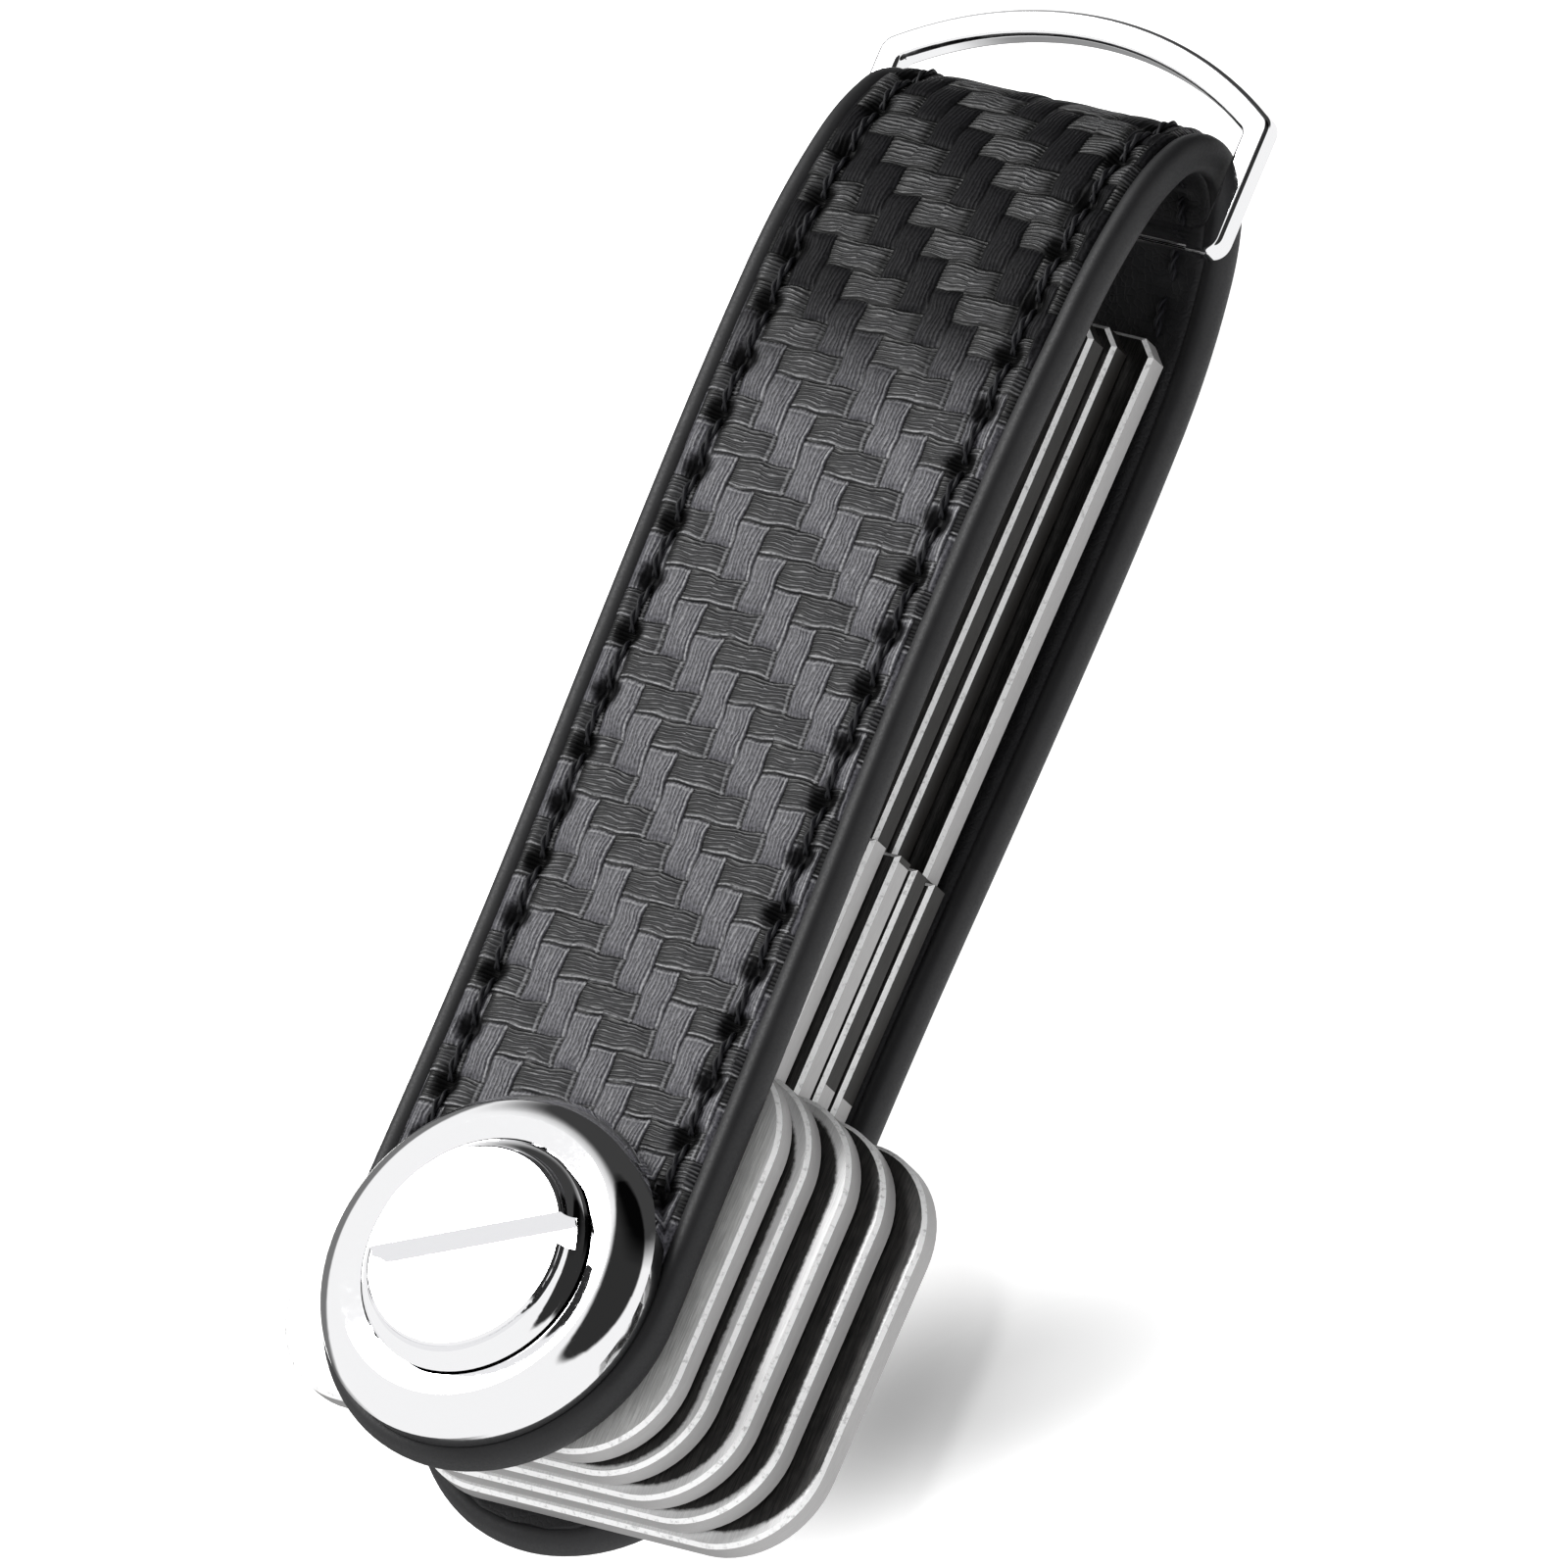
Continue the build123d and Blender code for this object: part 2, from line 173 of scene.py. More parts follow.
def outline_at(s):
    """Y, Z and heading of the outer outline at distances s from the front end."""
    s = np.asarray(s, float)
    y, z, heading = (np.zeros_like(s) for _ in range(3))
    start, here_y, here_z, here_heading = 0.0, -END_RADIUS, FRONT_FACE_Z, 0.0
    for index, (length, turn) in enumerate(SEGMENTS):
        last = index == len(SEGMENTS) - 1
        inside = ((s >= start) | (index == 0)) & ((s < start + length) | last)
        for t, fill in ((s[inside] - start, True), (np.array([length]), False)):
            rate = turn / length
            way = here_heading - rate * t
            if turn:
                new_y = here_y + (sin(here_heading) - np.sin(way)) / rate
                new_z = here_z + (np.cos(way) - cos(here_heading)) / rate
            else:
                new_y, new_z = here_y + t * cos(here_heading), here_z + t * sin(here_heading)
            if fill:
                y[inside], z[inside], heading[inside] = new_y, new_z, way
        start += length
        here_y, here_z, here_heading = float(new_y[0]), float(new_z[0]), float(way[0])
    return y, z, heading


def on_band(s, x, height):
    """Points in metres at distance s along the band, x across it and height over its outer face."""
    y, z, heading = outline_at(s)
    y = y - np.sin(heading) * height
    z = z + np.cos(heading) * height
    return np.stack(np.broadcast_arrays(x, y, z), axis=-1) * MM


def half_width(s, inset):
    """Half the band's width at s, inset from its edge, in at the waist and down to its round ends."""
    radius = END_RADIUS - inset
    along = np.minimum(s, BAND_LENGTH - s) - END_RADIUS
    past = np.maximum(0, -along)
    drawn = np.maximum(0, 1 - ((along - WAIST_Y) / WAIST_Y) ** 2) * (along > 0)
    return np.sqrt(np.maximum(0, radius ** 2 - past ** 2)) - (END_RADIUS - WAIST) * drawn


def smooth(low, high, value):
    """0 below low, 1 above high, and an even curve between them."""
    t = np.clip((value - low) / (high - low), 0, 1)
    return t * t * (3 - 2 * t)


# ---------------------------------------------------------------- meshes

def mesh_object(name, points, faces, smooth_angle=35.0):
    """A new mesh object, smooth except where its faces meet at more than smooth_angle degrees."""
    mesh = bpy.data.meshes.new(name)
    mesh.from_pydata([tuple(p) for p in points], [], faces)
    mesh.validate()
    mesh.polygons.foreach_set("use_smooth", [True] * len(mesh.polygons))
    mesh.set_sharp_from_angle(angle=radians(smooth_angle))
    made = bpy.data.objects.new(name, mesh)
    bpy.context.scene.collection.objects.link(made)
    return made


def woven_wander(s, x):
    """How far the hand-laid tows stray from their straight lines, across and along."""
    inside = WANDER * smooth(KEPT_LATTICE, KEPT_LATTICE - 1.6, np.abs(x))
    across = np.sin(1.7 * s + 1.1 * x) + 0.8 * np.sin(0.83 * s - 2.3 * x) + 0.6 * np.sin(3.1 * s + 0.7 * x)
    along = np.sin(1.3 * x - 1.9 * s) + 0.8 * np.sin(2.7 * x + 0.7 * s) + 0.6 * np.sin(0.9 * x + 3.3 * s)
    return inside * across, inside * along


def band_sheet(name, rows, columns, face, back, inset):
    """A sheet that follows the band. face(s, x) is the height of its detailed side, back that of its flat one.
    rows are distances along the band, columns places across it at full width."""
    n, m = len(rows), len(columns)
    s = np.repeat(rows[:, None], m, axis=1)
    half = half_width(rows, inset)[:, None]
    kept = np.minimum(KEPT_LATTICE, half - EDGE_MARGIN)
    beyond = np.maximum(0, np.abs(columns) - KEPT_LATTICE) / (END_RADIUS - inset - KEPT_LATTICE)
    inner = np.clip(columns, -KEPT_LATTICE, KEPT_LATTICE) * kept / KEPT_LATTICE
    x = inner + np.sign(columns) * beyond * (half - kept)
    aside, ahead = woven_wander(s, x)
    detailed = on_band(s + ahead, x + aside, face(s, x)).reshape(-1, 3)
    flat = on_band(s[:, [0, -1]], x[:, [0, -1]], np.full((n, 2), back)).reshape(-1, 3)
    base = n * m
    faces = []
    for i in range(n - 1):
        row, above = i * m, (i + 1) * m
        low, high = base + 2 * i, base + 2 * (i + 1)
        faces += [(row + j, row + j + 1, above + j + 1, above + j) for j in range(m - 1)]
        faces.append((row, above, high, low))
        faces.append((above + m - 1, row + m - 1, low + 1, high + 1))
        faces.append((low, high, high + 1, low + 1))
    last = (n - 1) * m
    faces.append([*range(m - 1, -1, -1), base, base + 1])
    faces.append([*range(last, last + m), base + 2 * n - 1, base + 2 * n - 2])
    if face(s[:1], x[:1]).mean() < back:
        faces = [tuple(reversed(f)) for f in faces]
    made = mesh_object(name, np.concatenate([detailed, flat]), faces, 60)
    places = np.stack([x, s], -1)
    uv = np.concatenate([places.reshape(-1, 2), places[:, [0, -1]].reshape(-1, 2)])
    layer = made.data.uv_layers.new(name="band")
    corner = np.zeros(len(made.data.loops), int)
    made.data.loops.foreach_get("vertex_index", corner)
    layer.data.foreach_set("uv", uv[corner].astype(np.float32).ravel())
    return made


def tows(x, s):
    """Places across and along the weave, counted in tows."""
    return x / TOW_ACROSS + TOW_PHASE[0], (s - END_RADIUS) / TOW_ALONG + TOW_PHASE[1]


def twill(across, along):
    """The tow on top of a two-by-two twill: is it a lengthwise one, and where on its float, -1 to 1 each way."""
    column, row = np.floor(across), np.floor(along)
    lengthwise = np.mod(column + row, 4) < 2
    side = np.where(lengthwise, np.mod(across, 1), np.mod(along, 1)) * 2 - 1
    run = np.where(lengthwise, np.mod(along + column, 4) - 1, np.mod(across + row, 4) - 3)
    return lengthwise, side, run


def stitch_places():
    """Distances along the band of the stitches' middles, and their pitch."""
    start = END_RADIUS + STITCH_START_Y
    count = round((BAND_LENGTH - 2 * start) / STITCH_PITCH)
    return np.linspace(start, BAND_LENGTH - start, count + 1), (BAND_LENGTH - 2 * start) / count


STITCH_S, STITCH_STEP = stitch_places()


def stitch_dents(s, x):
    """How far the leather is pulled in by the stitching: (dent, how much of the weave is left)."""
    aside = np.abs(x) - STITCH_X
    near = (s > STITCH_S[0] - STITCH_STEP) & (s < STITCH_S[-1] + STITCH_STEP)
    phase = (s - STITCH_S[0]) / STITCH_STEP + 0.5
    to_hole = (phase - np.round(phase)) * STITCH_STEP
    groove = np.exp(-(aside / GROOVE_WIDTH) ** 2) * near
    hole = np.exp(-(aside ** 2 + to_hole ** 2) / HOLE_WIDTH ** 2) * near
    return GROOVE_DEPTH * groove + HOLE_DEPTH * hole, 1 - 0.5 * groove - 0.5 * hole


def weave_face(s, x):
    """Height of the outer face: each tow is crowned, dives under its neighbours and sinks at the stitching."""
    across, along = tows(x, s)
    lengthwise, side, run = twill(across, along)
    crown = 1 - 0.3 * np.abs(side) ** 2.5 - 0.4 * smooth(0.82, 1.0, np.abs(side))
    dive = 1 - 0.5 * np.abs(run) ** 2.5 - 0.4 * smooth(0.86, 1.0, np.abs(run))
    dent, left = stitch_dents(s, x)
    edge = half_width(s, SKIN_INSET) - np.abs(x)
    fade = smooth(0, 0.7, edge)
    return -0.1 + WEAVE_RELIEF * crown * dive * left * fade - dent - 0.22 * (1 - fade) ** 2


def lining_face(s, x):
    """Height of the lining's face, which the stitching dents less."""
    dent, _ = stitch_dents(s, x)
    edge = half_width(s, LINING_INSET) - np.abs(x)
    return -BAND_THICKNESS + 0.4 * dent + 0.3 * (1 - smooth(0, 0.6, edge)) ** 2


def weave_lattice(low, high, pitch, phase, offset=0.0):
    """Places between low and high that crowd up to each side of the tows' borders."""
    first, last = int((low - offset) / pitch + phase) - 1, int((high - offset) / pitch + phase) + 1
    places = [(k + f - phase) * pitch + offset for k in range(first, last + 1) for f in TOW_STEPS]
    inside = [p for p in places if low + 0.04 < p < high - 0.04]
    return np.array([low, *inside, high])


def make_skin():
    """The embossed outer leather, with mesh lines that crowd at the tows' borders."""
    half = END_RADIUS - SKIN_INSET
    tip = END_RADIUS - 0.98 * half
    rows = weave_lattice(tip, BAND_LENGTH - tip, TOW_ALONG, TOW_PHASE[1], END_RADIUS)
    columns = weave_lattice(-half, half, TOW_ACROSS, TOW_PHASE[0])
    return band_sheet("band_skin", rows, columns, weave_face, -SKIN_DEPTH, SKIN_INSET)


def make_lining():
    """The lining leather on the band's inner face."""
    half = END_RADIUS - LINING_INSET
    tip = END_RADIUS - 0.98 * half
    rows = np.linspace(tip, BAND_LENGTH - tip, 460)
    columns = np.linspace(-half, half, 53)
    return band_sheet("band_inner_leather", rows, columns, lining_face, -LINING_NEAR, LINING_INSET)


def make_edge():
    """The core with its painted edge: rounded on every side, and flat under the two leathers."""
    upper = EDGE_ROUNDING
    lower = [(inset, BAND_THICKNESS - depth) for inset, depth in reversed(upper)]
    profile = [*upper, (-0.04, BAND_THICKNESS / 2), *lower]
    turns = np.linspace(0, pi / 2, 25)
    straight = np.linspace(END_RADIUS, BAND_LENGTH - END_RADIUS, 321)[1:-1]
    loops = []
    for inset, depth in profile:
        radius = END_RADIUS - inset
        s = np.concatenate([END_RADIUS - radius * np.cos(turns), straight,
                            BAND_LENGTH - END_RADIUS + radius * np.cos(turns[::-1])])
        x = np.concatenate([radius * np.sin(turns), half_width(straight, inset), radius * np.sin(turns[::-1])])
        s, x = np.concatenate([s, s[-2:0:-1]]), np.concatenate([x, -x[-2:0:-1]])
        loops.append(on_band(s, x, np.full(len(s), -depth)))
    count = len(loops[0])
    tip = count // 2
    faces = []
    for k in range(len(loops) - 1):
        low, high = k * count, (k + 1) * count
        faces += [(low + i, low + (i + 1) % count, high + (i + 1) % count, high + i) for i in range(count)]
    for base, flip in ((0, True), ((len(loops) - 1) * count, False)):
        caps = [(base, base + 1, base + count - 1)]
        caps += [(base + i, base + i + 1, base + count - i - 1, base + count - i) for i in range(1, tip - 1)]
        caps.append((base + tip - 1, base + tip, base + tip + 1))
        faces += [tuple(reversed(f)) if flip else f for f in caps]
    return mesh_object("band_painted_edge", np.concatenate(loops), [tuple(reversed(f)) for f in faces], 60)


def tube_faces(rings, sides, base):
    """Faces of a tube of rings with closed ends, whose first point is number base."""
    faces = []
    for i in range(rings - 1):
        for j in range(sides):
            a, b = base + i * sides, base + (i + 1) * sides
            faces.append((a + j, a + (j + 1) % sides, b + (j + 1) % sides, b + j))
    last = base + (rings - 1) * sides
    return faces + [tuple(range(base + sides - 1, base - 1, -1)), tuple(range(last, last + sides))]


def twisted_stitch(middle, x, side, base):
    """Two plies twisted round a short arch that dives into the leather at both ends. side is 1 on the outer
    face and -1 on the lining."""
    rings, sides = STITCH_RINGS, STITCH_SIDES
    t = np.linspace(-1, 1, rings)
    arch = STITCH_ARCH - STITCH_DIVE * np.abs(t) ** 2.6
    surface = 0.0 if side > 0 else -BAND_THICKNESS
    slant = STITCH_SLANT * t
    points, faces = [], []
    for ply in (0, pi):
        twist = PLY_TURNS * pi * (t + 1) + ply
        s = middle + t * STITCH_LENGTH / 2
        aside = x + slant + PLY_ASIDE * np.cos(twist)
        up = arch + PLY_UP * np.sin(twist)
        swell = PLY_RADIUS * (1 - 0.35 * np.abs(t) ** 4)
        for i in range(rings):
            angle = np.linspace(0, 2 * pi, sides, endpoint=False) * side
            ring_x = aside[i] + swell[i] * np.cos(angle)
            height = surface + side * (up[i] + swell[i] * np.sin(angle * side))
            points.append(on_band(np.full(sides, s[i]), ring_x, height))
        faces += tube_faces(rings, sides, base)
        base += rings * sides
    return np.concatenate(points), faces


def make_stitches(name, x):
    """A row of stitches on both faces. Under the caps and the keys' bows the lining's side is left out."""
    points, faces = [], []
    for middle in STITCH_S:
        for side in (1, -1):
            hidden_or_shaded = min(middle, BAND_LENGTH - middle) < END_RADIUS + BOWS_END
            if side < 0 and hidden_or_shaded:
                continue
            made, more = twisted_stitch(middle, x, side, sum(len(p) for p in points))
            points.append(made)
            faces += more
    return mesh_object(name, np.concatenate(points), faces, 60)


# ---------------------------------------------------------------- materials

class Shader:
    """A material's node tree, built a node at a time. Sockets and plain values can both be fed to an input."""

    def __init__(self, name, **principled):
        self.material = bpy.data.materials.new(name)
        self.material.use_nodes = True
        self.tree = self.material.node_tree
        self.tree.nodes.clear()
        self.surface = self.tree.nodes.new("ShaderNodeBsdfPrincipled")
        output = self.tree.nodes.new("ShaderNodeOutputMaterial")
        self.tree.links.new(self.surface.outputs[0], output.inputs["Surface"])
        for socket, value in principled.items():
            self.feed(self.surface.inputs[socket.replace("_", " ")], value)

    def feed(self, socket, value):
        if isinstance(value, bpy.types.NodeSocket):
            self.tree.links.new(value, socket)
        elif value is not None:
            if socket.type == "RGBA" and len(value) == 3:
                value = (*value, 1)
            socket.default_value = value

    def set(self, socket, value):
        self.feed(self.surface.inputs[socket], value)

    def node(self, kind, inputs=(), **settings):
        made = self.tree.nodes.new("ShaderNode" + kind)
        for key, value in settings.items():
            setattr(made, key, value)
        for socket, value in dict(inputs).items():
            self.feed(made.inputs[socket], value)
        return made

    def math(self, operation, a, b=None, c=None):
        return self.node("Math", {0: a, 1: b, 2: c}, operation=operation).outputs[0]

    def distance(self, x, y):
        return self.math("SQRT", self.math("ADD", self.math("POWER", x, 2.0), self.math("POWER", y, 2.0)))

    def remap(self, value, low, high, to_low=0.0, to_high=1.0):
        inputs = {0: value, 1: low, 2: high, 3: to_low, 4: to_high}
        return self.node("MapRange", inputs, interpolation_type="SMOOTHSTEP").outputs[0]

    def mix(self, factor, a, b):
        made = self.tree.nodes.new("ShaderNodeMix")
        made.data_type = "RGBA"
        self.feed(made.inputs[0], factor)
        self.feed(made.inputs[6], a)
        self.feed(made.inputs[7], b)
        return made.outputs[2]

    def noise(self, vector, scale, detail=3.0, roughness=0.5):
        inputs = {"Vector": vector, "Scale": scale, "Detail": detail, "Roughness": roughness}
        return self.node("TexNoise", inputs).outputs["Fac"]

    def combine(self, x, y, z=0.0):
        return self.node("CombineXYZ", {0: x, 1: y, 2: z}).outputs[0]

    def object_mm(self):
        """Object coordinates in millimetres."""
        place = self.node("TexCoord").outputs["Object"]
        return self.node("VectorMath", {0: place, 3: 1 / MM}, operation="SCALE").outputs[0]

    def stretched(self, vector, x, y, z):
        return self.node("VectorMath", {0: vector, 1: (x, y, z)}, operation="MULTIPLY").outputs[0]

    def split(self, vector):
        return self.node("SeparateXYZ", {0: vector}).outputs

    def bump(self, height, strength, distance_mm, normal=None):
        inputs = {"Strength": strength, "Distance": distance_mm * MM, "Height": height, "Normal": normal}
        return self.node("Bump", inputs).outputs[0]


def woven_leather():
    """Coated leather embossed as a two-by-two twill: lengthwise tows painted paler than crosswise ones, a painted
    sheen, and fine threads. The darkening over the fold is painted shade in the colour itself, so it stays when the
    light or the view changes."""
    look = Shader("woven_leather", Specular_IOR_Level=0.4)
    x, s, _ = look.split(look.node("UVMap", uv_map="band").outputs[0])
    across = look.math("MULTIPLY_ADD", x, 1 / TOW_ACROSS, TOW_PHASE[0])
    along = look.math("MULTIPLY_ADD", s, 1 / TOW_ALONG, TOW_PHASE[1] - END_RADIUS / TOW_ALONG)
    column, row = look.math("FLOOR", across), look.math("FLOOR", along)
    cell = look.math("FLOORED_MODULO", look.math("ADD", column, row), 4.0)
    lengthwise = look.math("LESS_THAN", cell, 2.0)

    def pick(if_lengthwise, if_not):
        return look.math("MULTIPLY_ADD", look.math("SUBTRACT", if_lengthwise, if_not), lengthwise, if_not)

    side = look.math("MULTIPLY_ADD", look.math("FRACT", pick(across, along)), 2.0, -1.0)
    run_length = look.math("SUBTRACT", look.math("FLOORED_MODULO", look.math("ADD", along, column), 4.0), 1.0)
    run_cross = look.math("SUBTRACT", look.math("FLOORED_MODULO", look.math("ADD", across, row), 4.0), 3.0)
    run = pick(run_length, run_cross)
    own = look.math("MULTIPLY_ADD", column, 7.3, look.math("MULTIPLY", row, 3.7))
    on_tow = look.combine(look.math("MULTIPLY", side, 1.5), look.math("MULTIPLY", run, 1.2), own)
    wander = look.noise(on_tow, 1.0, 2.0)
    lane = look.math("MULTIPLY_ADD", wander, 1.6, look.math("MULTIPLY", side, THREADS_IN_TOW / 2))
    ridge = look.math("MULTIPLY_ADD", look.math("COSINE", look.math("MULTIPLY", lane, 2 * pi)), 0.5, 0.5)
    patchy = look.noise(look.combine(x, s), 1.1, 3.0, 0.6)
    speckle = look.noise(look.combine(x, s), 4.5, 3.0, 0.65)

    # Painted sheen: the lengthwise tows are painted paler than the crosswise ones, in place of the glossy threads'
    # reflection
    line = look.math("MULTIPLY", look.math("POWER", ridge, 3.0), look.remap(patchy, 0.3, 0.65, 0.25, 1.0))
    cross_colour = look.mix(line, (0.004, 0.004, 0.005, 1), (0.11, 0.11, 0.115, 1))
    # Painted shade: each crosswise tow is painted darker towards one end
    cross_colour = look.mix(look.remap(run_cross, 0.1, -1.0, 0.0, 0.75), cross_colour, PAINTED_SHADE_BLACK)
    soft_line = look.math("MULTIPLY_ADD", ridge, 0.3, look.remap(speckle, 0.3, 0.7, 0.0, 0.7))
    length_colour = look.mix(soft_line, (0.01, 0.01, 0.013, 1), (0.12, 0.118, 0.134, 1))
    # Painted shade over the fold: the lengthwise tows are painted darker towards the band's middle
    to_fold = look.math("ABSOLUTE", look.math("SUBTRACT", s, BAND_LENGTH / 2))
    fold_shade_mask = look.remap(to_fold, FOLD_SHADE[0], FOLD_SHADE[1])
    length_colour = look.mix(look.math("MULTIPLY", fold_shade_mask, 0.9), length_colour, PAINTED_SHADE_BLACK)
    # Painted shade over the fold on the crosswise tows too, sparing the middle of each float
    centre = look.math("MULTIPLY", look.remap(look.math("ABSOLUTE", run_cross), 1.0, 0.45),
                       look.remap(look.math("ABSOLUTE", side), 1.0, 0.5))
    hidden_or_shaded = look.math("MULTIPLY", fold_shade_mask, look.math("MULTIPLY_ADD", centre, -0.75, 1.0))
    cross_colour = look.mix(hidden_or_shaded, cross_colour, PAINTED_SHADE_BLACK)
    colour = look.mix(lengthwise, cross_colour, length_colour)
    # Painted highlights: a patchy bright line along one side of each tow and near one end of it, left out over the
    # fold
    rim_side = look.math("MULTIPLY", side, pick(1.0, -1.0))
    highlight_rim = look.math("MULTIPLY", look.remap(rim_side, 0.74, 0.82), look.remap(rim_side, 0.9, 0.84))
    tip = look.math("MULTIPLY", look.remap(run, 0.82, 0.88), look.remap(run, 0.95, 0.9))
    highlight_patches = look.math("MULTIPLY", look.math("MAXIMUM", highlight_rim, look.math("MULTIPLY", tip, 0.8)),
                     look.remap(speckle, 0.35, 0.6, 0.25, 1.0))
    shown = look.math("SUBTRACT", 1.0, fold_shade_mask)
    highlight_patches = look.math("MULTIPLY", highlight_patches, shown)
    colour = look.mix(highlight_patches, colour, (0.3, 0.3, 0.31, 1))
    # Painted shade in the creases between the tows
    crease_shade = look.math("MAXIMUM", look.remap(look.math("ABSOLUTE", side), 0.9, 1.0, 0.0, 0.75),
                       look.remap(look.math("ABSOLUTE", run), 0.93, 1.0, 0.0, 0.75))
    colour = look.mix(crease_shade, colour, PAINTED_SHADE_BLACK)

    aside = look.math("SUBTRACT", look.math("ABSOLUTE", x), STITCH_X)
    phase = look.math("MULTIPLY_ADD", s, 1 / STITCH_STEP, 0.5 - float(STITCH_S[0]) / STITCH_STEP)
    to_hole = look.math("MULTIPLY", look.math("SUBTRACT", phase, look.math("ROUND", phase)), STITCH_STEP)
    reach = look.distance(aside, to_hole)
    stitched = look.math("MULTIPLY", look.math("GREATER_THAN", s, float(STITCH_S[0]) - STITCH_STEP),
                         look.math("LESS_THAN", s, float(STITCH_S[-1]) + STITCH_STEP))
    # Painted shade in and around the stitch holes
    hole_shade = look.math("MULTIPLY", look.remap(look.math("MULTIPLY_ADD", patchy, 0.9, reach), 1.85, 1.1), stitched)
    colour = look.mix(look.math("MULTIPLY", hole_shade, 0.95), colour, (0.002, 0.002, 0.002, 1))
    dull = look.math("MAXIMUM", look.math("MAXIMUM", hole_shade, crease_shade), look.math("MULTIPLY", fold_shade_mask, lengthwise))

    look.set("Base Color", colour)
    look.set("Specular IOR Level", look.math("MULTIPLY_ADD", dull, -0.35, 0.4))
    look.set("Roughness", look.remap(ridge, 0.0, 1.0, 0.55, 0.38))
    fine = look.bump(look.math("MULTIPLY", ridge, pick(0.5, 1.0)), 1.0, THREAD_RELIEF)
    look.set("Normal", look.bump(speckle, 0.3, 0.05, fine))
    return look.material


def painted_edge():
    """Smooth edge paint, faintly uneven."""
    look = Shader("painted_edge", Specular_IOR_Level=0.35)
    place = look.object_mm()
    cloud = look.noise(place, 0.35, 3.0)
    fine = look.noise(place, 6.0, 3.0, 0.6)
    look.set("Base Color", look.mix(cloud, (0.01, 0.01, 0.011, 1), (0.018, 0.018, 0.019, 1)))
    look.set("Roughness", look.remap(fine, 0.3, 0.7, 0.5, 0.62))
    look.set("Normal", look.bump(fine, 0.12, 0.05))
    return look.material


def lining_leather():
    """Smooth dark leather with a fine pebbled grain."""
    look = Shader("lining_leather", Specular_IOR_Level=0.35)
    place = look.object_mm()
    pebble = look.node("TexVoronoi", {"Vector": place, "Scale": 2.2}, feature="DISTANCE_TO_EDGE")
    grain = look.remap(pebble.outputs["Distance"], 0.0, 0.16)
    tone = look.noise(place, 0.5, 3.0)
    look.set("Base Color", look.mix(tone, (0.007, 0.007, 0.008, 1), (0.016, 0.016, 0.017, 1)))
    look.set("Roughness", look.remap(tone, 0.3, 0.7, 0.5, 0.62))
    look.set("Normal", look.bump(grain, 0.3, 0.06))
    return look.material


def black_thread():
    """Waxed black thread with fine fibres along it."""
    look = Shader("black_thread", Roughness=0.55, Specular_IOR_Level=0.3)
    place = look.object_mm()
    fibres = look.noise(look.stretched(place, 3.0, 1.0, 3.0), 5.0, 3.0, 0.6)
    look.set("Base Color", look.mix(fibres, (0.002, 0.002, 0.003, 1), (0.012, 0.012, 0.015, 1)))
    look.set("Normal", look.bump(fibres, 0.5, 0.05))
    return look.material


def chrome():
    """Mirror chrome with the slight waviness of a polished casting."""
    look = Shader("chrome", Base_Color=(0.9, 0.9, 0.91, 1), Metallic=1.0)
    place = look.object_mm()
    wave = look.noise(place, 0.28, 2.0)
    haze = look.noise(place, 3.0, 4.0, 0.6)
    look.set("Roughness", look.remap(haze, 0.4, 0.8, 0.035, 0.09))
    look.set("Normal", look.bump(wave, 0.1, 0.12))
    return look.material


def brushed_metal(name, pale, dark, roughness):
    """Plated metal with fine brushing across it."""
    look = Shader(name, Metallic=1.0)
    place = look.object_mm()
    grain = look.noise(look.stretched(place, 1.0, 8.0, 8.0), 3.0, 3.0, 0.6)
    look.set("Base Color", look.mix(grain, (*dark, 1), (*pale, 1)))
    look.set("Roughness", look.remap(grain, 0.2, 0.8, roughness - 0.08, roughness + 0.08))
    look.set("Normal", look.bump(grain, 0.15, 0.03))
    return look.material


